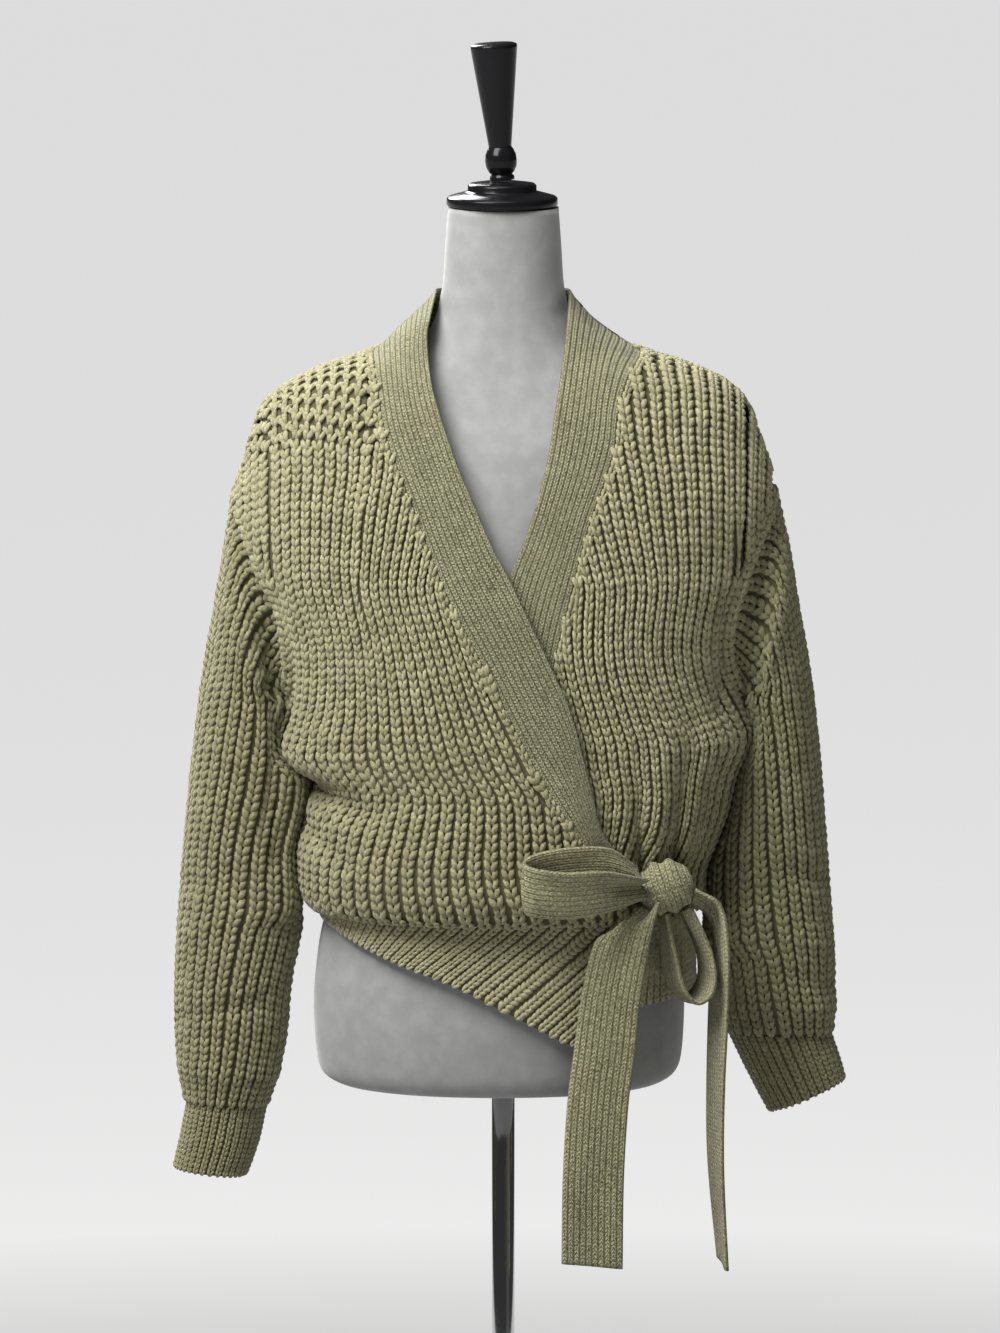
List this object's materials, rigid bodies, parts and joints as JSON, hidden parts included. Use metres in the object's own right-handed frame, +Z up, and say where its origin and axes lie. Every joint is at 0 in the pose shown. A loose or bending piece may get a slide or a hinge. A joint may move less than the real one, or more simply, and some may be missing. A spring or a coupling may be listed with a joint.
{
  "type": "wrap cardigan on a dress form",
  "caption": "Chunky rib-knit wrap cardigan with a fine-knit band and a tied belt, worn by a limbless dress form on a pole stand.",
  "frame": {"origin": "middle of the base plate's foot, on the floor", "axes": "+Z up the pole, -Y to the front of the cardigan, +X to its wearer's left"},
  "size_m": [0.6207, 0.3566, 1.6792],
  "materials": {
    "knit": "chunky wool-blend rib knit, matt and slightly fuzzy",
    "band": "fine plain knit in the same yarn",
    "velvet": "light grey velvet cover",
    "lacquer": "turned wood in gloss black lacquer",
    "chrome": "polished chrome",
    "base": "satin black powder coat"
  },
  "bodies": {
    "root": {"back": "knit", "front_right": "knit", "front_left": "knit", "sleeve_right": "knit", "sleeve_left": "knit", "cuff_right": "knit", "cuff_left": "knit", "hem_right": "knit", "hem_left": "knit", "hem_back": "knit", "band_right": "band", "band_left": "band", "band_neck": "band", "belt_knot": "band", "belt_loop_left": "band", "belt_loop_right": "band", "belt_tail_left": "band", "belt_tail_right": "band", "form_torso": "velvet", "neck_cap": "lacquer", "finial": "lacquer", "pole": "chrome", "base_plate": "base"}
  },
  "joints": []
}
